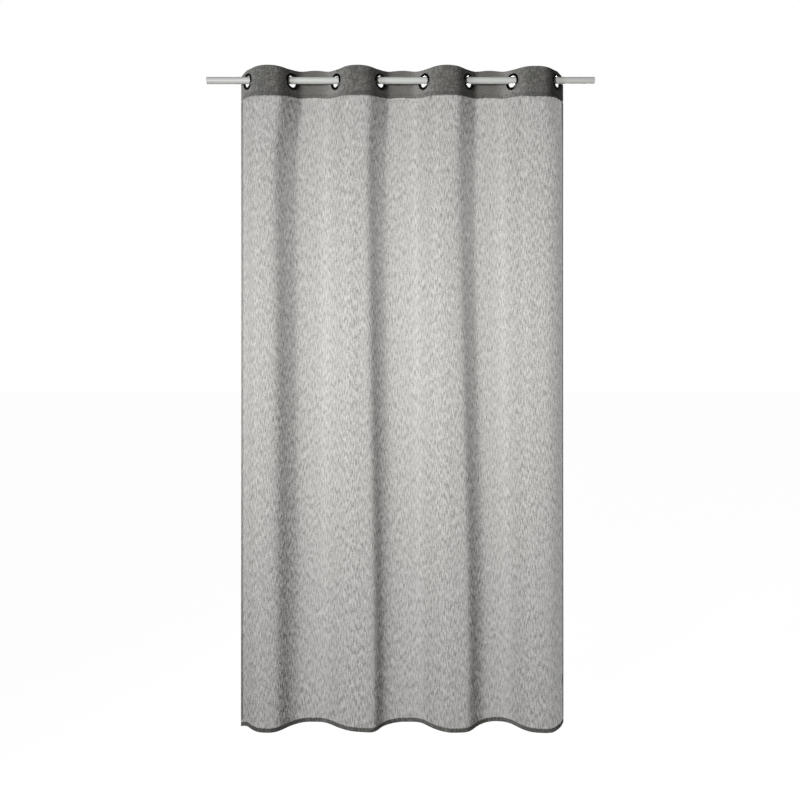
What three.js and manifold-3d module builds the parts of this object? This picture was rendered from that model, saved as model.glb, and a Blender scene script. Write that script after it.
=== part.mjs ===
// An eyelet curtain panel threaded on its rod. Millimetres, +Z up, the viewer on the -Y side.
// The origin is the middle of the rod's axis.
import * as THREE from 'three';
import { mergeVertices } from 'three/addons/utils/BufferGeometryUtils.js';
import Module from 'manifold-3d';

const wasm = await Module();
wasm.setup();

// ---- Driving dimensions ----
const rodDiameter = 25;
const rodWall = 1.2;
const rodMarginLeft = 118; // bare rod past the panel's left edge
const rodMarginRight = 106;
const plugDepth = 12;
const plugLip = 1.5; // the part of a plug that shows past the tube

const eyeletCount = 8;
const eyeletPitch = 161.3; // along the rod, as hung
const eyeletAngle = THREE.MathUtils.degToRad(50); // between the cloth and the rod at an eyelet
const eyeletFlange = 9.5; // width of a ring from its bore to its rim
const flangeHeight = 3;
const flangeShoulder = 1.8; // height of the flange at its rim and beside its bore
const backRingHeight = 2.4;
const backRingRim = 1.5; // height of the back ring near its rim
const backRingLip = 1.8; // and beside the barrel
const barrelWall = 1.5;
const barrelReach = 1.8; // of the barrel past the back of the cloth
const boreHalfLength = 1.5; // of the narrowest stretch of the bore
const rodPassClearance = 2.2; // between the rod and the slanting bore
const snapClearance = 0.3; // between barrel and back ring
const holeClearance = 0.6; // between barrel and cloth
const eyeletHang = 4.5; // eyelet centre below the rod's axis

const dropLength = 2400;
const headingHeight = 100;
const eyeletBelowTop = 50;
const seamHeight = 14; // turned-under edge at the foot of the heading
const foldDepth = 40; // crest of a fold from the rod's axis
const flatMargin = 1; // straight cloth past an eyelet's rim
const edgeMargin = 49; // cloth from an outer eyelet's centre to the side edge
const clothThickness = 0.6;
const tapeThickness = 0.6;
const layerGap = 0.3;
const bottomHemHeight = 15;
const sideHemWidth = 15;
const labelWidth = 12;
const labelHeight = 45;
const labelThickness = 0.3;
const labelAboveHem = 120;

const bendSteps = 7; // facets of a fold's rounded corner
const ringSegments = 24;
const holeSegments = 32;
const rodSegments = 48;

// ---- Worked out from them ----
const rodRadius = rodDiameter / 2;
const boreRadius =
  (rodRadius + boreHalfLength * Math.cos(eyeletAngle) + rodPassClearance) / Math.sin(eyeletAngle);
const rimRadius = boreRadius + eyeletFlange;
const barrelRadius = boreRadius + barrelWall;
const holeRadius = barrelRadius + holeClearance;
const flatHalf = rimRadius + flatMargin;
const panelWidth = eyeletPitch * (eyeletCount - 1) + 2 * edgeMargin * Math.cos(eyeletAngle);
const rodLength = panelWidth + rodMarginLeft + rodMarginRight;
const panelMiddle = (rodMarginLeft - rodMarginRight) / 2;

const topZ = eyeletBelowTop - eyeletHang;
const bottomZ = topZ - dropLength;
const headingFootZ = topZ - headingHeight;

// Layers of cloth, each as an offset from the middle of the heading's layers towards the back.
const stackHalf = clothThickness + tapeThickness / 2 + layerGap;
const clothLayer = [-stackHalf, clothThickness - stackHalf];
const innerLayer = layerBehind(clothLayer, tapeThickness);
const outerLayer = layerBehind(innerLayer, clothThickness);
const labelLayer = layerBehind(innerLayer, labelThickness);
const clampHalf = stackHalf + layerGap;

const clothMaterial = fabric(0x6f706c);
const tapeMaterial = fabric(0xd9d8d2);
const labelMaterial = fabric(0xf2f1ec);
const eyeletMaterial = new THREE.MeshStandardMaterial({ color: 0x16171a, roughness: 0.18, metalness: 0.9 });
const rodMaterial = new THREE.MeshStandardMaterial({ color: 0xcbcdcc, roughness: 0.35, metalness: 0.1 });

function fabric(color) {
  return new THREE.MeshStandardMaterial({ color, roughness: 0.95, metalness: 0 });
}

function layerBehind(layer, thickness) {
  return [layer[1] + layerGap, layer[1] + layerGap + thickness];
}

function namedMesh(name, geometry, material) {
  const mesh = new THREE.Mesh(geometry, material);
  mesh.name = name;
  return mesh;
}

// ---- The wave that the cloth follows, seen from above ----
// Straight at each eyelet, where the rings clamp it flat, then a round corner and the crest of the fold.
function eyeletX(index) {
  return panelMiddle + (index - (eyeletCount - 1) / 2) * eyeletPitch;
}

// +1 where the cloth runs to the front as X grows, -1 where it runs to the back.
function runsToFront(index) {
  return index % 2 === 0 ? 1 : -1;
}

function foldPoints(index, offset) {
  const side = runsToFront(index);
  const startX = eyeletX(index);
  const straightX = flatHalf * Math.cos(eyeletAngle);
  const straightY = flatHalf * Math.sin(eyeletAngle);
  const bend = (foldDepth - straightY) / (1 - Math.cos(eyeletAngle));
  const inset = straightX + bend * Math.sin(eyeletAngle);
  const radius = bend - side * offset;
  const points = [];
  for (const [centreX, first, last] of [
    [startX + inset, -eyeletAngle, 0],
    [startX + eyeletPitch - inset, 0, eyeletAngle],
  ]) {
    for (let step = 0; step <= bendSteps; step += 1) {
      const angle = first + ((last - first) * step) / bendSteps;
      const y = foldDepth - bend + radius * Math.cos(angle);
      points.push(new THREE.Vector2(centreX + radius * Math.sin(angle), -side * y));
    }
  }
  return points;
}

// Unit vectors along the cloth and out of its back at an eyelet.
function clothAxes(index) {
  const side = runsToFront(index);
  const along = new THREE.Vector2(Math.cos(eyeletAngle), -side * Math.sin(eyeletAngle));
  return { along, back: new THREE.Vector2(-along.y, along.x) };
}

function pointAt(index, distance, offset) {
  const { along, back } = clothAxes(index);
  return new THREE.Vector2(eyeletX(index), 0).addScaledVector(along, distance).addScaledVector(back, offset);
}

function wavePoints(offset) {
  const last = eyeletCount - 1;
  const points = [pointAt(0, -edgeMargin, offset)];
  for (let index = 0; index < last; index += 1) {
    points.push(...foldPoints(index, offset));
  }
  points.push(pointAt(last, edgeMargin, offset));
  return points;
}

// A sheet between two offsets of a line seen from above, standing between two heights.
function standingSheet(nearPoints, farPoints, lowZ, highZ) {
  const outline = new THREE.Shape([...nearPoints, ...[...farPoints].reverse()]);
  const geometry = new THREE.ExtrudeGeometry(outline, { depth: highZ - lowZ, bevelEnabled: false });
  geometry.translate(0, 0, lowZ);
  return geometry;
}

function waveSheet(layer, lowZ, highZ) {
  return standingSheet(wavePoints(layer[0]), wavePoints(layer[1]), lowZ, highZ);
}

// A flat strip beside one of the two side edges; from and to are distances inwards from that edge.
function edgeStrip(atLeft, from, to, layer, lowZ, highZ) {
  const index = atLeft ? 0 : eyeletCount - 1;
  const sign = atLeft ? -1 : 1;
  const ends = [sign * (edgeMargin - from), sign * (edgeMargin - to)];
  const near = ends.map((distance) => pointAt(index, distance, layer[0]));
  const far = ends.map((distance) => pointAt(index, distance, layer[1]));
  return standingSheet(near, far, lowZ, highZ);
}

// ---- Cuts ----
function toSolid(geometry) {
  const bare = geometry.clone();
  bare.deleteAttribute('normal');
  bare.deleteAttribute('uv');
  const merged = mergeVertices(bare);
  return new wasm.Manifold(
    new wasm.Mesh({
      numProp: 3,
      vertProperties: new Float32Array(merged.attributes.position.array),
      triVerts: new Uint32Array(merged.index.array),
    }),
  );
}

function toGeometry(solid) {
  const mesh = solid.getMesh();
  const geometry = new THREE.BufferGeometry();
  geometry.setAttribute('position', new THREE.BufferAttribute(mesh.vertProperties, mesh.numProp));
  geometry.setIndex(new THREE.BufferAttribute(mesh.triVerts, 1));
  geometry.computeVertexNormals();
  return geometry;
}

// Turns a shape whose axis is +Y so that +Y points out of the cloth's back at an eyelet, and puts it there.
function placeAtEyelet(object, index) {
  const { back } = clothAxes(index);
  object.position.set(eyeletX(index), 0, -eyeletHang);
  object.rotation.set(0, 0, Math.atan2(back.y, back.x) - Math.PI / 2);
  return object;
}

function withEyeletHoles(geometry) {
  const cutter = new THREE.CylinderGeometry(holeRadius, holeRadius, 4 * clampHalf, holeSegments);
  let solid = toSolid(geometry);
  for (let index = 0; index < eyeletCount; index += 1) {
    const plug = placeAtEyelet(new THREE.Object3D(), index);
    plug.updateMatrix();
    solid = solid.subtract(toSolid(cutter.clone().applyMatrix4(plug.matrix)));
  }
  return toGeometry(solid);
}

// ---- Sub-parts ----
function ringOfProfile(name, profile) {
  const points = [...profile, profile[0]].map(([radius, height]) => new THREE.Vector2(radius, height));
  return namedMesh(name, new THREE.LatheGeometry(points, ringSegments), eyeletMaterial);
}

// The flange in front of the cloth, with the barrel that goes back through it.
function eyeletFront(index) {
  const face = -clampHalf;
  const lip = boreRadius + barrelWall / 2;
  const crown = boreRadius + eyeletFlange / 2;
  const profile = [
    [boreRadius, -boreHalfLength],
    [lip, face - flangeShoulder],
    [crown, face - flangeHeight],
    [rimRadius - flangeShoulder, face - flangeShoulder],
    [rimRadius, face],
    [barrelRadius, face],
    [barrelRadius, clampHalf + barrelReach],
    [lip, clampHalf + barrelReach],
    [boreRadius, boreHalfLength],
  ];
  return placeAtEyelet(ringOfProfile(`eyelet_${index + 1}_front_ring`, profile), index);
}

// The ring that snaps on the barrel behind the cloth.
function eyeletBack(index) {
  const face = clampHalf;
  const inner = barrelRadius + snapClearance;
  const crown = (inner + rimRadius) / 2;
  const profile = [
    [inner, face],
    [rimRadius, face],
    [rimRadius - backRingRim, face + backRingRim],
    [crown, face + backRingHeight],
    [inner, face + backRingLip],
  ];
  return placeAtEyelet(ringOfProfile(`eyelet_${index + 1}_back_ring`, profile), index);
}

function rodTube() {
  const outline = new THREE.Shape().absarc(0, 0, rodRadius, 0, 2 * Math.PI);
  outline.holes.push(new THREE.Path().absarc(0, 0, rodRadius - rodWall, 0, 2 * Math.PI));
  const settings = { depth: rodLength - 2 * plugLip, bevelEnabled: false, curveSegments: rodSegments / 2 };
  const mesh = namedMesh('rod_tube', new THREE.ExtrudeGeometry(outline, settings), rodMaterial);
  mesh.rotation.y = Math.PI / 2;
  mesh.position.x = plugLip - rodLength / 2;
  return mesh;
}

function rodPlug(name, direction) {
  const stem = rodRadius - rodWall - layerGap;
  const inside = -plugLip - plugDepth;
  const profile = [
    [0, inside],
    [stem, inside],
    [stem, layerGap - plugLip],
    [rodRadius, layerGap - plugLip],
    [rodRadius, 0],
    [0, 0],
  ].map(([radius, height]) => new THREE.Vector2(radius, height));
  const mesh = namedMesh(name, new THREE.LatheGeometry(profile, rodSegments), rodMaterial);
  mesh.rotation.z = (-direction * Math.PI) / 2;
  mesh.position.x = (direction * rodLength) / 2;
  return mesh;
}

function mainCloth() {
  const geometry = withEyeletHoles(waveSheet(clothLayer, bottomZ, topZ));
  return namedMesh('main_cloth', geometry, clothMaterial);
}

function headingTurnover() {
  const geometry = withEyeletHoles(waveSheet(outerLayer, headingFootZ, topZ));
  return namedMesh('heading_turnover', geometry, clothMaterial);
}

function headingTape() {
  const geometry = withEyeletHoles(waveSheet(innerLayer, headingFootZ + seamHeight + layerGap, topZ));
  return namedMesh('heading_stiffener_tape', geometry, tapeMaterial);
}

function headingSeam() {
  const geometry = waveSheet(innerLayer, headingFootZ, headingFootZ + seamHeight);
  return namedMesh('heading_seam_allowance', geometry, clothMaterial);
}

function bottomHem() {
  const geometry = waveSheet(innerLayer, bottomZ, bottomZ + bottomHemHeight);
  return namedMesh('bottom_hem', geometry, clothMaterial);
}

function sideHem(name, atLeft) {
  const lowZ = bottomZ + bottomHemHeight + layerGap;
  const geometry = edgeStrip(atLeft, 0, sideHemWidth, innerLayer, lowZ, headingFootZ - layerGap);
  return namedMesh(name, geometry, clothMaterial);
}

function careLabel() {
  const lowZ = bottomZ + bottomHemHeight + labelAboveHem;
  const inset = (sideHemWidth - labelWidth) / 2;
  const geometry = edgeStrip(false, inset, inset + labelWidth, labelLayer, lowZ, lowZ + labelHeight);
  return namedMesh('care_label', geometry, labelMaterial);
}

const group = new THREE.Group();
group.add(rodTube());
group.add(rodPlug('rod_plug_left', -1));
group.add(rodPlug('rod_plug_right', 1));
group.add(mainCloth());
group.add(headingTurnover());
group.add(headingTape());
group.add(headingSeam());
group.add(bottomHem());
group.add(sideHem('side_hem_left', true));
group.add(sideHem('side_hem_right', false));
group.add(careLabel());
for (let index = 0; index < eyeletCount; index += 1) {
  group.add(eyeletFront(index));
  group.add(eyeletBack(index));
}

export default group;
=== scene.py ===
import math
import random

import bmesh
import bpy
import numpy as np
from mathutils import Matrix, Vector


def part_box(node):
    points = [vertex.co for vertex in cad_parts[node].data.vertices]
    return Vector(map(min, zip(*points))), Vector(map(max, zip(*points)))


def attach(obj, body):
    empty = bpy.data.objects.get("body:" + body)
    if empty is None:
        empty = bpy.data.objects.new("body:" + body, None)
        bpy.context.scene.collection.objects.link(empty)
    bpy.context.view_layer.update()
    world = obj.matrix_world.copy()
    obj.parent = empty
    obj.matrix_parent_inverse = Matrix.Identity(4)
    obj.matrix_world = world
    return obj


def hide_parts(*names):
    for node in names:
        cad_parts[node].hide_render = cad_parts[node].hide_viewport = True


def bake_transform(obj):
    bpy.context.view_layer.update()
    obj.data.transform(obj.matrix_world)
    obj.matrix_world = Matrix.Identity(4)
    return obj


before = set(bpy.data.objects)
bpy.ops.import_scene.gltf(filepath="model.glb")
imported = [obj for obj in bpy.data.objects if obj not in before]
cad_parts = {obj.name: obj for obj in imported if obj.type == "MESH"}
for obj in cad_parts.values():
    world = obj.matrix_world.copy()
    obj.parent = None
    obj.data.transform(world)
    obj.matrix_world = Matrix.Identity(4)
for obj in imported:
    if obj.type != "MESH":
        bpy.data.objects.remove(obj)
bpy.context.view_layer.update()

MM = 0.001

# ---- Sizes that the frame gives ----
EYELETS = 8
CLOTH_ANGLE = math.radians(50)  # between the cloth and the rod at an eyelet, as in the CAD model
CLOTH_LOW, CLOTH_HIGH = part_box("main_cloth")
DROP = CLOTH_HIGH.z - CLOTH_LOW.z
HEADING_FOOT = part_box("heading_turnover")[0].z
HEADING = CLOTH_HIGH.z - HEADING_FOOT
SEAM_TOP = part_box("heading_seam_allowance")[1].z
HEM_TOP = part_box("bottom_hem")[1].z
ROD_LOW, ROD_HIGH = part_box("rod_tube")
ROD_RADIUS = (ROD_HIGH.z - ROD_LOW.z) / 2
OUTER_FACE = 1.2 * MM  # from the middle of the CAD model's layers to the face of its main cloth
OUTER_CORNER = 0.9 * MM  # and how much further out along the rod that puts its side edges
FOLD_DEPTH = (CLOTH_HIGH.y - CLOTH_LOW.y) / 2 - OUTER_FACE


def eyelet_centre(number):
    """The middle of an eyelet's two rings together, which lie evenly on both sides of the cloth."""
    low_a, high_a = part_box(f"eyelet_{number}_front_ring")
    low_b, high_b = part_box(f"eyelet_{number}_back_ring")
    low = Vector(map(min, low_a, low_b))
    high = Vector(map(max, high_a, high_b))
    return (low + high) / 2


CENTRES = [eyelet_centre(number) for number in range(1, EYELETS + 1)]
PITCH = CENTRES[1].x - CENTRES[0].x
RING_LOW, RING_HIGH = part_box("eyelet_1_front_ring")
RIM_RADIUS = (RING_HIGH.z - RING_LOW.z) / 2
FLAP = (CENTRES[0].x - CLOTH_LOW.x - OUTER_CORNER) / math.cos(CLOTH_ANGLE)
BODIES = [f"eyelet_{number}" for number in range(1, EYELETS)] + ["trailing_edge"]

# ---- Sizes of the finish ----
SIDE_HEM = 15 * MM
FOLD_CLOTH = 193 * MM  # flat width of the cloth between two eyelets
FLAT_HALF = RIM_RADIUS + 1 * MM  # the cloth is clamped straight this far from an eyelet's centre
BORE_RADIUS = RIM_RADIUS - 9.5 * MM
CUT_RADIUS = BORE_RADIUS + 4 * MM  # hole in the cloth, under the rings
CLAMP_HALF = 1.5 * MM  # half the room between the two flanges
LAYER_STEP = 0.9 * MM  # from the middle of one heading layer to the next
LOW_DEPTH = 34 * MM  # depth of a fold at the bottom hem
CORNER_DROOP = 17 * MM  # the two free top corners sag this far, and the left side with its corner
DROOP_POWER = 1.3  # how late on the way to a corner the cloth droops
SEAM_HOLD = 0.6  # share of the droop that the stiff seam holds back
SEAM_REACH = 50 * MM  # above and below the seam
CREST_RISE = 7 * MM  # the heading stands higher between two eyelets
TOP_DIP = 7.5 * MM  # and dips this far at them
RIGHT_DIP = 4 * MM  # the last fold's top hangs this much lower than the others
TOP_FADE = 0.5  # metres in which these shapes of the top edge fade to a third
STRETCH = 9 * MM  # the hung cloth has grown this much under its own weight
SEAM_SAG = 9 * MM  # the foot of the heading bows down this far in the folds that stand out
SAG_FADE = 0.4  # metres in which that bow fades to a third
END_SAG = 0.45  # the folds at the two ends bow down by this share more
LEAN = 0.118  # share of its depth by which a fold hangs lower if it stands out, higher if back
STITCH_STEP = 3.2 * MM
STITCH_SHARE = 0.9  # of the step, that is thread and not gap
THREAD_RADIUS = 0.28 * MM
THREAD_LIFT = 0.25 * MM  # from the cloth to the middle of the thread
CUFF_STEPS = 5  # rows or columns that go round the edge of a layer that turns over


# ---- Colours and nodes ----
def srgb(hex_text):
    """An sRGB hex colour as linear red, green, blue and alpha."""
    parts = [int(hex_text[i : i + 2], 16) / 255 for i in (0, 2, 4)]
    return [c / 12.92 if c <= 0.04045 else ((c + 0.055) / 1.055) ** 2.4 for c in parts] + [1.0]


def node(tree, kind, settings=(), **links):
    """Adds a node: settings are (name or socket number, value), links are socket_name=output."""
    made = tree.nodes.new(kind)
    for name, value in settings:
        if isinstance(name, int) or name in made.inputs:
            made.inputs[name].default_value = value
        else:
            setattr(made, name, value)
    for name, output in links.items():
        key = int(name[1:]) if name[0] == "_" else name.replace("_", " ")
        tree.links.new(output, made.inputs[key])
    return made


def empty_tree(holder):
    """The node tree of a material or world, with nothing in it."""
    holder.use_nodes = True
    holder.node_tree.nodes.clear()
    return holder.node_tree


def new_material(name, settings):
    """A material with one principled shader, set as wanted."""
    material = bpy.data.materials.new(name)
    tree = empty_tree(material)
    shader = node(tree, "ShaderNodeBsdfPrincipled", settings)
    output = node(tree, "ShaderNodeOutputMaterial", Surface=shader.outputs[0])
    return material, tree, shader, output


def toned(tree, shader, first, second, factor):
    """Gives the shader a colour between two, and returns that colour."""
    mix = node(tree, "ShaderNodeMix", [("data_type", "RGBA"), (6, srgb(first)), (7, srgb(second))],
               _0=factor)
    tree.links.new(mix.outputs[2], shader.inputs["Base Color"])
    return mix.outputs[2]


def bumped(tree, shader, strength, distance, height):
    """Gives the shader a relief, distance deep."""
    bump = node(tree, "ShaderNodeBump", [("Strength", strength), ("Distance", distance)],
                Height=height)
    tree.links.new(bump.outputs[0], shader.inputs["Normal"])


def grain(tree, scale, detail):
    """Noise fixed to the piece, with scale marks per metre."""
    place = node(tree, "ShaderNodeTexCoord")
    noise = node(tree, "ShaderNodeTexNoise", [("Scale", scale), ("Detail", detail)],
                 Vector=place.outputs["Object"])
    return noise.outputs[0]


def stretched_noise(tree, uv, scale, turn, detail):
    """Noise drawn out along the cloth: scale is marks per metre both ways, turn leans them."""
    place = node(tree, "ShaderNodeMapping", [("Rotation", (0, 0, turn)), ("Scale", (*scale, 1))],
                 Vector=uv.outputs[0])
    noise = node(tree, "ShaderNodeTexNoise",
                 [("Scale", 1.0), ("Detail", detail), ("Roughness", 0.55)], Vector=place.outputs[0])
    return noise.outputs[0]


def heathered_cloth(name, dark, light, cover_low, cover_high, let_through):
    """Linen-look voile: dark and light yarns with slubs, woven openly, so that light comes through.

    Between the yarns one sees past the cloth; the yarns themselves pass some light from behind."""
    material, tree, shader, output = new_material(name, [
        ("Roughness", 0.9), ("IOR", 1.45), ("Specular IOR Level", 0.15), ("Sheen Weight", 0.1),
        ("Sheen Roughness", 0.5),
    ])
    uv = node(tree, "ShaderNodeUVMap", [("uv_map", "flat_cloth")])
    # Slubs are about 3 mm wide and 24 mm long, which is as fine as shows from across a room, and
    # lean both ways a little, as loosely beaten yarns do. The weft is a finer, fainter cross line.
    right = stretched_noise(tree, uv, SLUBS, SLUB_LEAN, 2.0)
    left = stretched_noise(tree, uv, SLUBS, -SLUB_LEAN, 2.0)
    weft = stretched_noise(tree, uv, WEFT, 0.0, 1.0)
    pair = node(tree, "ShaderNodeMath", [("operation", "ADD")], _0=right, _1=left)
    woven = node(tree, "ShaderNodeMath", [("operation", "MULTIPLY_ADD"), (1, WEFT_SHARE)],
                 _0=weft, _2=pair.outputs[0])
    slub = node(tree, "ShaderNodeMapRange", [("From Min", 1.04), ("From Max", 1.42)],
                Value=woven.outputs[0])
    # Painted light and shade, carried by the shade attribute with the heading's mottle, shift the
    # mix and the yarns' cover.
    shade = node(tree, "ShaderNodeAttribute", [("attribute_name", "shade")])
    darkness = node(tree, "ShaderNodeMath", [("operation", "ADD")],
                    _0=slub.outputs[0], _1=shade.outputs[2])
    colour = toned(tree, shader, light, dark, darkness.outputs[0])
    steep = node(tree, "ShaderNodeAttribute", [("attribute_name", "steepness")])
    cover = node(tree, "ShaderNodeMapRange", [("To Min", cover_low), ("To Max", cover_high)],
                 Value=darkness.outputs[0])
    # Painted shade: yarn covers more of the cloth on the steep sides of the folds.
    shaded_cover = node(tree, "ShaderNodeMath",
                  [("operation", "MULTIPLY_ADD"), (1, FLANK_SHADE_COVER), ("use_clamp", True)],
                  _0=steep.outputs[2], _2=cover.outputs[0])
    bumped(tree, shader, 0.3, 0.6 * MM, woven.outputs[0])
    glow = node(tree, "ShaderNodeBsdfTranslucent", Color=colour)
    yarn = node(tree, "ShaderNodeMixShader", [(0, let_through)],
                _1=shader.outputs[0], _2=glow.outputs[0])
    gaps = node(tree, "ShaderNodeBsdfTransparent")
    open_weave = node(tree, "ShaderNodeMixShader",
                      _0=shaded_cover.outputs[0], _1=gaps.outputs[0], _2=yarn.outputs[0])
    tree.links.new(open_weave.outputs[0], output.inputs["Surface"])
    return material


def stiffener_material():
    """Non-woven buckram dyed to match the cloth: fibrous and almost opaque."""
    material, tree, shader, _ = new_material("buckram_tape", [("Roughness", 0.95)])
    uv = node(tree, "ShaderNodeUVMap", [("uv_map", "flat_cloth")])
    fibres = node(tree, "ShaderNodeTexNoise", [("Scale", 320.0), ("Detail", 4.0)],
                  Vector=uv.outputs[0])
    toned(tree, shader, "5c5c55", "787870", fibres.outputs[0])
    return material


def thread_material():
    """Spun polyester sewing thread, a little darker than the cloth, with a faint lustre."""
    material, tree, shader, _ = new_material("sewing_thread", [("Roughness", 0.6)])
    toned(tree, shader, "3c3d3a", "565752", grain(tree, 900.0, 1.0))
    return material


def label_material():
    """Woven satin ribbon, blank, with fine ribs across it."""
    material, tree, shader, _ = new_material("satin_label", [("Roughness", 0.45)])
    place = node(tree, "ShaderNodeTexCoord")
    ribs = node(tree, "ShaderNodeTexWave", [("Scale", 400.0), ("bands_direction", "Z")],
                Vector=place.outputs["Object"])
    bumped(tree, shader, 0.3, 0.2 * MM, ribs.outputs[1])
    toned(tree, shader, "e9e8e2", "f6f5f0", ribs.outputs[1])
    return material


def black_nickel():
    """Steel eyelet plated in black nickel: a dark mirror with fine polishing haze."""
    material, tree, shader, _ = new_material("black_nickel", [("Metallic", 1.0)])
    haze = grain(tree, 160.0, 3.0)
    rough = node(tree, "ShaderNodeMapRange", [("To Min", 0.14), ("To Max", 0.24)], Value=haze)
    tree.links.new(rough.outputs[0], shader.inputs["Roughness"])
    toned(tree, shader, "232426", "2e2f31", haze)
    return material


def rod_lacquer():
    """Steel tube in pale grey satin lacquer, with the faint orange peel of a sprayed coat."""
    material, tree, shader, _ = new_material("satin_lacquer", [("Roughness", 0.42)])
    peel = grain(tree, 220.0, 2.0)
    bumped(tree, shader, 0.08, 0.3 * MM, peel)
    toned(tree, shader, "a2a3a1", "a8a9a6", peel)
    return material


# Marks of the weave in each metre, across and along the cloth.
SLUBS = (340, 42)
SLUB_LEAN = 0.13  # radians, to each side
WEFT = (70, 400)
WEFT_SHARE = 0.45  # of the slubs' strength
# Painted light and shade: how far the yarns' mix shifts, on a scale from all light at 0 to all dark
# at 1.
HEADING_SHADE = 0.5  # painted light: lighter by this in the heading for each fold's depth further back
BODY_SHADE = 0.08  # and by this below it, as painted light too
UNSHIFTED = 0.5  # cloth that stands out by this share of a fold's depth keeps its mix
SEAM_SHADE = 0.3  # painted shade: darker by this over the heading's seam band and the bottom hem
# Two woven layers make small patches in the heading: one value for each corner of its mesh.
MOTTLE = 0.45 * np.random.default_rng(7).normal(size=(400, 700))
MOTTLE_STEP = 50  # columns from one fold's patches to the next fold's
FLANK_SHADE_COVER = 0.09  # painted shade: added to the share of the cloth that yarn covers, on the steep sides of a fold
STEEP = (0.3, 0.8)  # from not steep to fully so, as the sine of the cloth's angle to the rod
LEFT_FLANK_SHADE = 0.8  # painted shade times this on the sides facing left
# And times this at shares of the drop on the sides facing right: their painted shade is stronger
# just under the heading and strongest near the floor.
RIGHT_FLANK_SHADE = [(0.0, 1.3), (0.055, 1.3), (0.12, 0.7), (0.25, 0.4), (0.5, 1.0), (1.0, 2.1)]
CLOTH = heathered_cloth("linen_look_voile", "5f5e5c", "8e8c89", 0.69, 0.88, 0.45)
# The turned-over layers and the seam allowance are the same voile in darker copies: painted shade
# of the layers inside the heading and the hem.
FOLDED_CLOTH_SHADED = heathered_cloth("linen_look_voile_folded_painted_shade", "3d3e39", "65665f", 0.82, 0.96, 0.15)
SEAM_CLOTH_SHADED = heathered_cloth("linen_look_voile_seam_painted_shade", "34352f", "50514a", 0.90, 0.98, 0.05)
TAPE = stiffener_material()
THREAD = thread_material()
LABEL = label_material()
NICKEL = black_nickel()
LACQUER = rod_lacquer()


# ---- The wave of the cloth, seen from above ----
TURN_STEPS = 200  # in which the cloth turns from an eyelet to a crest
TURN_POWERS = (0.3, 14.0)  # from the slowest turn to the sharpest
HALVINGS = 40
HALF_POINTS = 101  # evenly spaced, that half a fold is given as


def half_fold(angle, depth, flat):
    """Half a fold, from an eyelet to the crest: x and y of its points, and its length of cloth.

    The cloth leaves the eyelet straight at that angle, then turns parallel to the rod. How sharply
    it turns is found by halving, so that the crest comes out at the wanted depth."""
    q = (np.arange(TURN_STEPS) + 0.5) / (2 * TURN_STEPS)
    low, high = TURN_POWERS
    flat_x, flat_y = flat * math.cos(angle), flat * math.sin(angle)
    reach = PITCH / 2 - flat_x
    for _ in range(HALVINGS):
        power = (low + high) / 2
        turn = angle * np.cos(math.pi * q) ** power
        crest = flat_y + reach * np.sin(turn).mean() / np.cos(turn).mean()
        low, high = (power, high) if crest > depth else (low, power)
    step = reach / np.cos(turn).sum()
    along = np.concatenate([[0, flat], flat + step * np.arange(1, TURN_STEPS + 1)])
    x = np.concatenate([[0, flat_x], flat_x + step * np.cos(turn).cumsum()])
    y = np.concatenate([[0, flat_y], flat_y + step * np.sin(turn).cumsum()])
    place = np.linspace(0, 1, HALF_POINTS) * along[-1]
    return np.interp(place, along, x), np.interp(place, along, y), along[-1]


def smooth(value, low=0.0, high=1.0):
    """0 up to low, 1 from high on, and an even rise between."""
    value = np.clip((value - low) / (high - low), 0, 1)
    return value * value * (3 - 2 * value)


HEADING_SHARE = 0.045  # of the drop, in which the wave stays as the eyelets set it
# How the folds change down the panel: share of the drop, angle at the eyelet's line, depth of the
# folds that stand out into the room and of those that stand back, and straight length beside the
# eyelet's line.
STATIONS = [
    (0.0, CLOTH_ANGLE, FOLD_DEPTH + 7 * MM, FOLD_DEPTH, FLAT_HALF),
    (HEADING_SHARE, CLOTH_ANGLE, FOLD_DEPTH + 7 * MM, FOLD_DEPTH, FLAT_HALF),
    (0.30, math.radians(51), FOLD_DEPTH + 3 * MM, FOLD_DEPTH - 1 * MM, 20 * MM),
    (1.0, math.radians(42), LOW_DEPTH + 1 * MM, LOW_DEPTH, 2 * MM),
]
HALVES = [
    (half_fold(angle, out, flat), half_fold(angle, back, flat))
    for _, angle, out, back, flat in STATIONS
]
FLAP_POINTS = 12  # that a row has past its outermost eyelet

# How far each eyelet's line and each crest, in turn from the left, has wandered along the rod, in
# mm: a little below the heading, and at the bottom hem.
UPPER_WANDER = [0, -14, -22, -8, 0, 6, -14, 2, 0, -5, -4, 2, 0, -5, 0]
LOWER_WANDER = [0, -6, -14, -4, 6, 38, 6, 24, 22, 46, 28, 38, 20, 27, 0]
WANDER_SOFT = 30  # points of a row to each side over which the wander is evened out

# Shares of the drop between which a change comes in.
WANDER_BEGINS = (HEADING_SHARE, 0.135)
WANDER_GROWS = (0.15, 0.95)  # from the upper wander to the lower
CURL_BEGINS = (HEADING_SHARE, 0.125)
RIPPLES_BEGIN = (0.05, 0.30)

END_CURL = 4  # how late the right edge curls back: a power
RIGHT_SPREAD = 0.72  # the curl spreads the right flap's columns by one over this


def wander(x, share):
    """How far the folds have moved along the rod at that share of the drop."""
    station_x = CENTRES[0].x + np.arange(2 * EYELETS - 1) * PITCH / 2
    kernel = np.hanning(2 * WANDER_SOFT + 1)
    kernel /= kernel.sum()
    parts = []
    for values in (UPPER_WANDER, LOWER_WANDER):
        drift = np.interp(x, station_x, np.array(values) * MM)
        parts.append(np.convolve(np.pad(drift, WANDER_SOFT, mode="edge"), kernel, mode="valid"))
    grown = parts[0] + (parts[1] - parts[0]) * smooth(share, *WANDER_GROWS)
    return grown * smooth(share, *WANDER_BEGINS)


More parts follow.
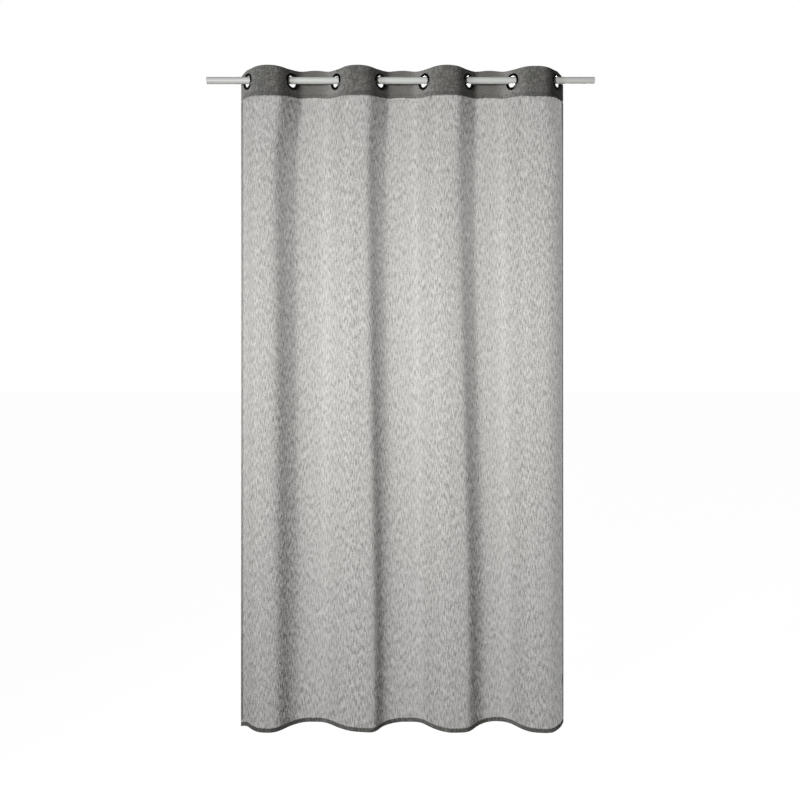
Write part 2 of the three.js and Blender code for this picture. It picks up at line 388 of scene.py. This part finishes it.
def row_profile(share):
    """One row of cloth, share of the drop below the top, as arc lengths and plan points."""
    keys = [station[0] for station in STATIONS]
    upper = max(i for i, key in enumerate(keys[:-1]) if key <= share)
    t = smooth(share, keys[upper], keys[upper + 1])
    # A whole fold that stands out and one that stands back, at this share of the drop.
    folds = []
    for (xa, ya, la), (xb, yb, lb) in zip(HALVES[upper], HALVES[upper + 1]):
        x, y = xa + (xb - xa) * t, ya + (yb - ya) * t
        fold_x = np.concatenate([x, PITCH - x[-2::-1]])
        folds.append((fold_x, np.concatenate([y, y[-2::-1]]), 2 * (la + (lb - la) * t)))
    xs, ys, flat, length = [], [], [], 0.0
    for fold in range(EYELETS - 1):
        fold_x, fold_y, fold_length = folds[fold % 2]
        side = -1 if fold % 2 == 0 else 1
        first = 0 if fold == 0 else 1
        xs.append(CENTRES[fold].x + fold_x[first:])
        ys.append(side * fold_y[first:])
        flat.append(length + np.linspace(0, fold_length, len(fold_x))[first:])
        length += fold_length
    angle = STATIONS[upper][1] * (1 - t) + STATIONS[upper + 1][1] * t
    ends = np.linspace(FLAP, 0, FLAP_POINTS, endpoint=False)
    left_x = CENTRES[0].x - ends * math.cos(CLOTH_ANGLE)
    left_y = ends * math.sin(angle)
    right_x = CENTRES[-1].x + ends[::-1] * math.cos(CLOTH_ANGLE)
    right_y = ends[::-1] * math.sin(angle)
    x = np.concatenate([left_x, *xs, right_x])
    y = np.concatenate([left_y, *ys, right_y])
    s = np.concatenate([-ends, *flat, length + ends[::-1]])
    # Below the heading the last fold stays out almost to the right edge, which curls back.
    last = int(np.argmax(x > CENTRES[-1].x - PITCH / 2))
    t = (x[last:] - x[last]) / (x[-1] - x[last])
    curled = y[last] + (y[-1] - y[last]) * t**END_CURL
    y[last:] += (curled - y[last:]) * smooth(share, *CURL_BEGINS)
    steps = np.hypot(np.diff(x[last:]), np.diff(y[last:]))
    s[last:] = s[last] + np.concatenate([[0], steps.cumsum()])
    # The side edges themselves don't wander.
    edge = smooth((x - x[0]) / (PITCH / 2)) * smooth((x[-1] - x) / (PITCH / 2))
    return s - length / 2, x + wander(x, share) * edge, y


def ripples(x, share):
    """Slight unevenness of soft cloth, towards the back. The stiffened heading has none."""
    wave = np.zeros_like(x)
    for length, height, lean, phase in RIPPLES:
        wave += height * np.sin(x * math.tau / length + lean * share + phase)
    return wave * smooth(share, *RIPPLES_BEGIN)


rng = random.Random(11)
# Length and height of each set of ripples, radians by which it leans down the drop, and its phase.
RIPPLES = [
    (length * MM, height * MM, rng.uniform(-3, 3), rng.uniform(0, math.tau))
    for length, height in ((410, 1.6), (233, 1.2), (127, 0.8), (71, 0.5))
]


def drop_rows():
    """Rows of cloth, as distances below the top edge: close in the heading and at the hem."""
    near_hem, hem = DROP - 60 * MM, DROP - 15 * MM
    limits = [0, HEADING - 14 * MM, HEADING, HEADING + 60 * MM, near_hem, hem, DROP]
    rows = [np.zeros(1)]
    steps = (3, 3.5, 6, 14, 7, 3.75)  # mm
    for low, high, step in zip(limits, limits[1:], steps):
        count = max(2, round((high - low) / (step * MM)) + 1)
        rows.append(np.linspace(low, high, count)[1:])
    return np.concatenate(rows)


ROWS = drop_rows()


def columns_of_fold(fold):
    """Column places of one fold: 0 to 1 across it, below 0 in the left flap, above 1 in the right.

    They lie closer beside the eyelets, where the holes are."""
    near = np.concatenate([np.linspace(0, 0.17, 12), np.linspace(0.17, 0.5, 15)[1:]])
    across = np.concatenate([near, 1 - near[-2::-1]])
    flap = np.linspace(0, 1, 15)
    if fold == 0:
        across = np.concatenate([-flap[:0:-1], across])
    if fold == EYELETS - 2:
        across = np.concatenate([across, 1 + flap[1:]])
    return across


def sag(x, y, below, share_across):
    """How far a point hangs above its flat place: free corners droop, crests stand up a little."""
    top = math.exp(-below / TOP_FADE)
    beyond = np.maximum(CENTRES[0].x - x, x - CENTRES[-1].x) / (FLAP * math.cos(CLOTH_ANGLE))
    # Layers on the outside of the cloth reach a little beyond its corner.
    droop = CORNER_DROOP * np.clip(beyond, 0, 1.05) ** DROOP_POWER
    at_seam = math.exp(-(((below - HEADING) / SEAM_REACH) ** 2))
    droop *= np.where(x > 0, top, 1) * (1 - SEAM_HOLD * at_seam)
    crest = np.sin(math.pi * share_across) ** 2
    right_dip = RIGHT_DIP * smooth((x - CENTRES[-2].x) / (PITCH / 2))
    rise = (CREST_RISE * crest**1.5 - TOP_DIP - right_dip) * top
    end_folds = 1 + END_SAG * (x / CENTRES[-1].x) ** 2
    foot = SEAM_SAG * end_folds * crest * np.clip(-y / FOLD_DEPTH, 0, 1) * smooth(below / HEADING)
    foot *= math.exp(-below / SAG_FADE)
    return rise - foot - droop - STRETCH * below / DROP + LEAN * y


FLAT_ORIGIN = 0.8  # metres from the flat cloth's origin to its middle, so that no place is negative


def fold_grid(fold, rows, offset, across=None, lift=0.0):
    """One fold's cloth at those distances below the top: points, flat places, steepness and shade.

    offset moves a whole layer, or each row or column of it, out of the back of the cloth, and lift
    raises its rows. across picks columns other than the fold's own."""
    across = columns_of_fold(fold) if across is None else across
    offset = np.broadcast_to(offset, (len(rows), len(across)))
    lift = np.broadcast_to(lift, len(rows))
    points = np.zeros((len(rows), len(across), 3))
    flat = np.zeros((len(rows), len(across), 2))
    steep = np.zeros((len(rows), len(across)))
    shade = np.zeros((len(rows), len(across)))
    for row, below in enumerate(rows):
        share = below / DROP
        s, x, y = row_profile(share)
        y = y + ripples(x, share)
        start, end = np.interp([CENTRES[fold].x, CENTRES[fold + 1].x], x, s)
        at = start + (end - start) * across
        at = np.where(across < 0, start + (start - s[0]) * across, at)
        at = np.where(across > 1, end + (s[-1] - end) * (across - 1), at)
        dx, dy = np.gradient(x, s), np.gradient(y, s)
        px, py = np.interp(at, s, x), np.interp(at, s, y)
        tx, ty = np.interp(at, s, dx), np.interp(at, s, dy)
        size = np.hypot(tx, ty)
        tx, ty = tx / size, ty / size
        inner = np.clip(across, 0, 1)
        points[row, :, 0] = px - ty * offset[row]
        points[row, :, 1] = py + tx * offset[row]
        points[row, :, 2] = CLOTH_HIGH.z - below + lift[row] + sag(px, py, below, inner)
        flat[row, :, 0] = at + FLAT_ORIGIN
        flat[row, :, 1] = DROP - below + lift[row]
        # Painted shade on the steep sides of the folds, set by the way they face.
        right_flank_shade = np.interp(share, *zip(*RIGHT_FLANK_SHADE))
        steep[row] = smooth(np.abs(ty), *STEEP) * np.where(ty > 0, right_flank_shade, LEFT_FLANK_SHADE)
        steep[row] *= px < CENTRES[-1].x - PITCH / 2  # the last half fold is spread out
        shade[row] = row_shade(row, below, py, MOTTLE_STEP * fold)
    return points, flat, steep, shade


def row_shade(row, below, y, first_patch):
    """How far painted light and shade, with the heading's mottle, shift the yarns' mix along one
    row.
    """
    height = CLOTH_HIGH.z - below + 1 * MM  # so that a row on an edge counts as above it
    # Painted light: cloth that stands further back is lighter.
    shade = -(np.clip(y / FOLD_DEPTH, -1, 1) + UNSHIFTED)
    if height > HEADING_FOOT:
        shade = shade * HEADING_SHADE + MOTTLE[row, first_patch : first_patch + len(y)]
    else:
        shade = shade * BODY_SHADE
    # Painted shade over the heading's seam band and the bottom hem.
    in_seam = HEADING_FOOT < height < SEAM_TOP + 2 * MM
    return shade + SEAM_SHADE if in_seam or height < HEM_TOP else shade


def placed(name, data):
    """A new object in the scene."""
    made = bpy.data.objects.new(name, data)
    bpy.context.collection.objects.link(made)
    return made


def cloth_piece(name, grid, material, holes):
    """A sheet of mesh from a grid of points, facing the room, with round holes at the eyelets."""
    points, flat, steep, shade = grid
    rows, columns = steep.shape
    corner = np.arange(rows * columns).reshape(rows, columns)
    faces = [corner[1:, :-1], corner[1:, 1:], corner[:-1, 1:], corner[:-1, :-1]]
    mesh = bpy.data.meshes.new(name)
    mesh.from_pydata(points.reshape(-1, 3).tolist(), [],
                     np.stack(faces, axis=-1).reshape(-1, 4).tolist())
    layer = mesh.uv_layers.new(name="flat_cloth")
    loops = np.zeros(len(mesh.loops), np.int32)
    mesh.loops.foreach_get("vertex_index", loops)
    layer.data.foreach_set("uv", flat.reshape(-1, 2)[loops].astype(np.float32).ravel())
    for title, values in (("steepness", steep), ("shade", shade)):
        attribute = mesh.attributes.new(title, "FLOAT", "POINT")
        attribute.data.foreach_set("value", values.ravel().astype(np.float32))
    mesh.polygons.foreach_set("use_smooth", [True] * len(mesh.polygons))
    mesh.materials.append(material)
    if holes:
        cut_holes(mesh, holes)
    return placed(name, mesh)


def cut_holes(mesh, centres):
    """Takes out the cloth inside each eyelet and draws the edge left there onto the cut's circle.

    Corners on the eyelet's own line stay, as the next fold's cloth joins them."""
    bm = bmesh.new()
    bm.from_mesh(mesh)
    for centre in centres:
        gone = [face for face in bm.faces
                if (face.calc_center_median() - centre).length < CUT_RADIUS]
        ring = {vert for face in gone for vert in face.verts}
        bmesh.ops.delete(bm, geom=gone, context="FACES")
        for vert in ring:
            if vert.is_valid and abs(vert.co.x - centre.x) > 0.01 * MM:
                vert.co = centre + CUT_RADIUS * (vert.co - centre).normalized()
    bm.to_mesh(mesh)
    bm.free()


def hang_on_eyelets(piece):
    """Bakes the piece's placement into its mesh."""
    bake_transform(piece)


def rows_between(high, low):
    """The rows of the drop between two heights."""
    top, bottom = CLOTH_HIGH.z - high, CLOTH_HIGH.z - low
    return ROWS[(ROWS >= top - 0.1 * MM) & (ROWS <= bottom + 0.1 * MM)]


def fold_over(rows, offset, at_top):
    """Rows of a layer that turns over the main cloth's edge: distances below, offsets, lifts."""
    radius = (offset + LAYER_STEP) / 2
    turn = np.linspace(math.pi, 0, CUFF_STEPS, endpoint=False)
    edge = rows[0] if at_top else rows[-1]
    sign = 1 if at_top else -1
    curl = (np.full(CUFF_STEPS, edge), radius - LAYER_STEP + radius * np.cos(turn),
            sign * radius * np.sin(turn))
    plain = (rows, np.full(len(rows), offset), np.zeros(len(rows)))
    pairs = zip(curl, plain) if at_top else zip(plain, [part[::-1] for part in curl])
    below, offsets, lifts = (np.concatenate(pair) for pair in pairs)
    return below, offsets[:, None], lifts


def make_cloth():
    """The layers of the cloth, each in strips from one eyelet to the next."""
    for fold in range(EYELETS - 1):
        number = fold + 1
        holes = [CENTRES[fold], CENTRES[fold + 1]]
        turned = fold_over(rows_between(CLOTH_HIGH.z, HEADING_FOOT), LAYER_STEP, True)
        hem = fold_over(rows_between(HEM_TOP, CLOTH_LOW.z), 0.0, False)
        tape = rows_between(CLOTH_HIGH.z, SEAM_TOP)
        seam = rows_between(SEAM_TOP, HEADING_FOOT)
        layers = [
            ("main_cloth", (ROWS, -LAYER_STEP, 0.0), CLOTH, holes),
            ("heading_stiffener_tape", (tape, 0.0, 0.0), TAPE, holes),
            ("heading_turnover", turned, FOLDED_CLOTH_SHADED, holes),
            ("heading_seam_allowance", (seam, 0.0, 0.0), SEAM_CLOTH_SHADED, []),
            ("bottom_hem", hem, FOLDED_CLOTH_SHADED, []),
        ]
        for part, (rows, offset, lift), material, cuts in layers:
            grid = fold_grid(fold, rows, offset, lift=lift)
            piece = cloth_piece(f"{part}_fold_{number}", grid, material, cuts)
            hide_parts(part)
            hang_on_eyelets(piece)


def flap_columns(at_left, from_edge, to_edge, count):
    """Column places in a side flap, between two distances in from the side edge."""
    shares = np.linspace(from_edge, to_edge, count) / FLAP
    return shares - 1 if at_left else 2 - RIGHT_SPREAD * shares[::-1]


def make_side_hems():
    """The side edges, turned to the back below the heading."""
    low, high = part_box("side_hem_left")
    rows = rows_between(high.z, low.z)
    turn = np.linspace(math.pi, 0, CUFF_STEPS, endpoint=False)
    radius = LAYER_STEP / 2
    curl = radius * np.cos(turn) - radius
    beyond = radius * np.sin(turn) / FLAP
    for name, at_left, fold in (("side_hem_left", True, 0), ("side_hem_right", False, EYELETS - 2)):
        across = flap_columns(at_left, 0, SIDE_HEM, 6)
        plain = np.zeros(len(across))
        if at_left:
            across, offset = np.concatenate([-1 - beyond, across]), np.concatenate([curl, plain])
        else:
            across = np.concatenate([across, (2 + beyond)[::-1]])
            offset = np.concatenate([plain, curl[::-1]])
        grid = fold_grid(fold, rows, offset[None, :], across)
        piece = cloth_piece(f"{name}_finish", grid, CLOTH, [])
        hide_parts(name)
        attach(piece, BODIES[0] if at_left else BODIES[-1])


def make_label():
    """The blank care label, caught along its top; its foot stands a little off the cloth."""
    low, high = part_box("care_label")
    down = np.linspace(0, 1, 12)
    below = CLOTH_HIGH.z - high.z + (high.z - low.z) * down
    away = LAYER_STEP + 5 * MM * down**2
    across = flap_columns(False, 1.5 * MM, 15 * MM, 5)
    grid = fold_grid(EYELETS - 2, below, away[:, None], across)
    piece = cloth_piece("care_label_finish", grid, LABEL, [])
    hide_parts("care_label")
    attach(piece, BODIES[-1])


def puffed_thread():
    """The corners and faces of one stitch, from -1 to 1 along X."""
    bm = bmesh.new()
    bmesh.ops.create_uvsphere(bm, u_segments=6, v_segments=4, radius=1)
    bmesh.ops.rotate(bm, verts=bm.verts, matrix=Matrix.Rotation(math.pi / 2, 3, "Y"))
    corners = np.array([vert.co for vert in bm.verts])
    faces = [[vert.index for vert in face.verts] for face in bm.faces]
    bm.free()
    return corners, faces


STITCH_CORNERS, STITCH_FACES = puffed_thread()


def sew_line(line):
    """Corners of the stitches along a line of points, one to a step, with short gaps between."""
    start, end = line[:-1], line[1:]
    along = end - start
    length = np.linalg.norm(along, axis=1, keepdims=True)
    along /= length
    side = np.cross(along, (0.0, 1.0, 0.0))
    side /= np.linalg.norm(side, axis=1, keepdims=True)
    third = np.cross(along, side)
    x, y, z = STITCH_CORNERS.T[:, None, :, None]
    middle = ((start + end) / 2)[:, None]
    long_way = x * STITCH_SHARE / 2 * (along * length)[:, None]
    round_it = THREAD_RADIUS * (y * side[:, None] + z * third[:, None])
    return (middle + long_way + round_it).reshape(-1, 3)


def make_stitches():
    """Rows of lockstitch, on both faces: two along the heading's seam, one along each hem."""
    lines = [
        (HEADING - 2 * MM, -LAYER_STEP, LAYER_STEP),
        (HEADING - 11 * MM, -LAYER_STEP, LAYER_STEP),
        (CLOTH_HIGH.z - HEM_TOP + 2 * MM, -LAYER_STEP, 0.0),
    ]
    for fold in range(EYELETS - 1):
        first = -1 if fold == 0 else 0
        last = 2 if fold == EYELETS - 2 else 1
        across = np.linspace(first, last, round((last - first) * FOLD_CLOTH / STITCH_STEP))
        sewn = [
            sew_line(fold_grid(fold, [below], offset, across)[0][0])
            for below, front, back in lines
            for offset in (front - THREAD_LIFT, back + THREAD_LIFT)
        ]
        # The side hems' stitches are half as long again.
        rows = np.arange(HEADING + 4 * MM, DROP - 18 * MM, 1.5 * STITCH_STEP)
        for at, inwards, is_end in ((-1, 1, fold == 0), (2, -1, fold == EYELETS - 2)):
            if is_end:
                spread = RIGHT_SPREAD if at > 0 else 1.0
                place = np.array([at + inwards * spread * (SIDE_HEM - 2 * MM) / FLAP])
                for offset in (-LAYER_STEP - THREAD_LIFT, THREAD_LIFT):
                    sewn.append(sew_line(fold_grid(fold, rows, offset, place)[0][:, 0]))
        corners = np.concatenate(sewn)
        bases = range(0, len(corners), len(STITCH_CORNERS))
        faces = [[base + i for i in face] for base in bases for face in STITCH_FACES]
        mesh = bpy.data.meshes.new("stitches")
        mesh.from_pydata(corners.tolist(), [], faces)
        mesh.polygons.foreach_set("use_smooth", [True] * len(mesh.polygons))
        mesh.materials.append(THREAD)
        piece = placed(f"stitching_fold_{fold + 1}", mesh)
        hang_on_eyelets(piece)


# ---- Eyelets ----
def spun_ring(name, profile, steps=72):
    """Spins a closed profile of (radius, height) points about +Z into a smooth ring."""
    bm = bmesh.new()
    verts = [bm.verts.new((radius, 0, height)) for radius, height in profile]
    edges = [bm.edges.new((verts[i], verts[(i + 1) % len(verts)])) for i in range(len(verts))]
    bmesh.ops.spin(bm, geom=verts + edges, cent=(0, 0, 0), axis=(0, 0, 1), angle=math.tau,
                   steps=steps, use_merge=True)
    bmesh.ops.remove_doubles(bm, verts=bm.verts, dist=1e-6)
    bmesh.ops.recalc_face_normals(bm, faces=bm.faces)
    mesh = bpy.data.meshes.new(name)
    bm.to_mesh(mesh)
    bm.free()
    mesh.polygons.foreach_set("use_smooth", [True] * len(mesh.polygons))
    return placed(name, mesh)


def arc(centre, size, first, last, steps):
    """Points on an ellipse's arc, for a profile; angles in degrees from +radius to +height."""
    return [
        (centre[0] + size[0] * math.cos(angle), centre[1] + size[1] * math.sin(angle))
        for angle in np.radians(np.linspace(first, last, steps))
    ]


def front_profile():
    """A domed flange, rolled over into the bore, with the barrel that passes the cloth."""
    middle = (BORE_RADIUS + RIM_RADIUS) / 2
    half = (RIM_RADIUS - BORE_RADIUS) / 2
    dome = arc((middle, CLAMP_HALF + 0.3 * MM), (half, 2.7 * MM), 0, 180, 15)
    back = -CLAMP_HALF - 1.8 * MM
    wall = 1.5 * MM
    return [
        (RIM_RADIUS, CLAMP_HALF),
        *dome,
        (BORE_RADIUS, back + 0.5 * MM),
        (BORE_RADIUS + 0.5 * MM, back),
        (BORE_RADIUS + wall, back + 0.2 * MM),
        (BORE_RADIUS + wall, CLAMP_HALF),
    ]


def back_profile():
    """The flatter snap ring, with a pressed step near the barrel."""
    inner = BORE_RADIUS + 1.8 * MM
    middle = (inner + RIM_RADIUS) / 2
    half = (RIM_RADIUS - inner) / 2
    dome = arc((middle, CLAMP_HALF + 0.3 * MM), (half, 2.0 * MM), 0, 180, 13)
    return [(RIM_RADIUS, CLAMP_HALF), *dome, (inner, CLAMP_HALF)]


def make_eyelets():
    """Two rings at each eyelet, that hold the cloth between them at its angle to the rod."""
    for index, centre in enumerate(CENTRES):
        number = index + 1
        side = 1 if index % 2 == 0 else -1
        # Out of the room side of the cloth, which faces left at odd eyelets and right at even ones.
        facing = Vector((-side * math.sin(CLOTH_ANGLE), -math.cos(CLOTH_ANGLE), 0))
        for part, direction, profile in (
            ("front", facing, front_profile()),
            ("back", -facing, back_profile()),
        ):
            ring = spun_ring(f"eyelet_{number}_{part}_finish", profile)
            turn = direction.to_track_quat("Z", "Y").to_matrix().to_4x4()
            ring.data.transform(Matrix.Translation(centre) @ turn)
            ring.data.materials.append(NICKEL)
            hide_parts(f"eyelet_{number}_{part}_ring")
            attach(ring, BODIES[index])


# ---- Rod ----
ROD_WALL = 1.2 * MM
TUBE_CHAMFER = 0.4 * MM
PLUG_ROUNDING = 0.8 * MM
PLUG_PLAY = 0.3 * MM  # around the stem in the tube, and between the head and the tube's end
ROD_STEPS = 96


def make_rod():
    """The tube, with a plug in each end; all are spun about Z and then laid along the rod."""
    low, high = ROD_LOW.x, ROD_HIGH.x
    inner, chamfered = ROD_RADIUS - ROD_WALL, ROD_RADIUS - TUBE_CHAMFER
    tube = spun_ring("rod_tube_finish", [
        (ROD_RADIUS, low + TUBE_CHAMFER), (ROD_RADIUS, high - TUBE_CHAMFER), (chamfered, high),
        (inner, high), (inner, low), (chamfered, low),
    ], ROD_STEPS)
    plugs = []
    for name, direction in (("rod_plug_left", -1), ("rod_plug_right", 1)):
        box_low, box_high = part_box(name)
        reach = (box_high.x if direction > 0 else -box_low.x)
        face = (high if direction > 0 else -low) + PLUG_PLAY
        stem = inner - PLUG_PLAY
        inside = reach - (box_high.x - box_low.x)
        rounding = arc((ROD_RADIUS - PLUG_ROUNDING, reach - PLUG_ROUNDING),
                       (PLUG_ROUNDING, PLUG_ROUNDING), 0, 90, 6)
        plug = spun_ring(f"{name}_finish", [
            (0, inside), (stem, inside), (stem, face), (ROD_RADIUS, face), *rounding, (0, reach),
        ], ROD_STEPS)
        if direction < 0:
            plug.data.transform(Matrix.Rotation(math.pi, 4, "X"))
        plugs.append((plug, name))
    to_x = Matrix.Rotation(math.pi / 2, 4, "Y")
    for piece, part in [(tube, "rod_tube"), *plugs]:
        piece.data.transform(to_x)
        piece.data.materials.append(LACQUER)
        # The ends stay crisp while the round side shades smoothly.
        piece.data.set_sharp_from_angle(angle=math.radians(35))
        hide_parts(part)
        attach(piece, "rod")


make_eyelets()
make_cloth()
make_side_hems()
make_label()
make_stitches()
make_rod()


# ---- Stage ----
FLOOR_BELOW = 40 * MM  # the cloth's foot
FLOOR_HALF = 30  # metres
LAMP_LEVEL = -0.90  # with the upper part of the panel, so that the light falls off below it
LAMP_HEIGHT = 0.6
LAMP_SPREAD = math.radians(50)
# Name, place, the x that it faces on the rod's plane, width, power and colour of each lamp.
LAMPS = [
    ("side_left", (-4.4, -2.35, LAMP_LEVEL), 0.5, 1.0, 22, "f6f9ff"),
    ("key_left", (-2.4, -3.8, LAMP_LEVEL), 0.2, 1.0, 32, "fffffc"),
    ("behind", (0.9, 4.2, LAMP_LEVEL), 0.0, 1.6, 32.5, "fffaf6"),
]
WHITE = (1, 1, 1, 1)


def make_floor():
    """Plain pale floor, as good as white to the eye, that lights the cloth only a little."""
    material = bpy.data.materials.new("pale_floor")
    tree = empty_tree(material)
    path = node(tree, "ShaderNodeLightPath")
    matt = node(tree, "ShaderNodeBsdfDiffuse", [("Color", srgb("f0f0f0"))])
    white = node(tree, "ShaderNodeEmission", [("Color", WHITE), ("Strength", 1.1)])
    share = node(tree, "ShaderNodeMath", [("operation", "MULTIPLY"), (1, 0.88)],
                 _0=path.outputs["Is Camera Ray"])
    mixed = node(tree, "ShaderNodeMixShader",
                 _0=share.outputs[0], _1=matt.outputs[0], _2=white.outputs[0])
    node(tree, "ShaderNodeOutputMaterial", Surface=mixed.outputs[0])
    bm = bmesh.new()
    bmesh.ops.create_grid(bm, x_segments=1, y_segments=1, size=FLOOR_HALF)
    mesh = bpy.data.meshes.new("floor")
    bm.to_mesh(mesh)
    bm.free()
    mesh.transform(Matrix.Translation((0, 0, CLOTH_LOW.z - FLOOR_BELOW)))
    mesh.materials.append(material)
    floor = placed("floor", mesh)


def make_world():
    """White all round as seen, and a dimmer white as light."""
    world = bpy.data.worlds.new("studio")
    tree = empty_tree(world)
    path = node(tree, "ShaderNodeLightPath")
    dim = node(tree, "ShaderNodeBackground", [("Color", WHITE), ("Strength", 0.15)])
    bright = node(tree, "ShaderNodeBackground", [("Color", WHITE), ("Strength", 1.0)])
    mixed = node(tree, "ShaderNodeMixShader",
                 _0=path.outputs["Is Camera Ray"], _1=dim.outputs[0], _2=bright.outputs[0])
    node(tree, "ShaderNodeOutputWorld", Surface=mixed.outputs[0])
    bpy.context.scene.world = world


def make_lights():
    """Soft boxes with a grid, level, each turned towards the panel."""
    for name, place, aim_x, width, power, colour in LAMPS:
        data = bpy.data.lights.new(name, "AREA")
        data.shape = "RECTANGLE"
        data.size, data.size_y = width, LAMP_HEIGHT
        data.energy = power
        data.color = srgb(colour)[:3]
        data.spread = LAMP_SPREAD
        light = placed(name, data)
        light.location = place
        light.visible_camera = False
        aim = Vector((aim_x, 0, place[2])) - light.location
        light.rotation_euler = aim.to_track_quat("-Z", "Y").to_euler()


def make_camera():
    """Level, at eye height, looking square at the panel; the shift keeps its verticals parallel."""
    data = bpy.data.cameras.new("camera")
    data.lens = 34.7
    data.sensor_width = 36
    data.shift_y = -0.05
    camera = placed("camera", data)
    camera.location = (-0.002, -2.82, -1.022)
    camera.rotation_euler = (math.pi / 2, 0, 0)
    bpy.context.scene.camera = camera


make_floor()
make_world()
make_lights()
make_camera()
bpy.context.scene.view_settings.view_transform = "Standard"
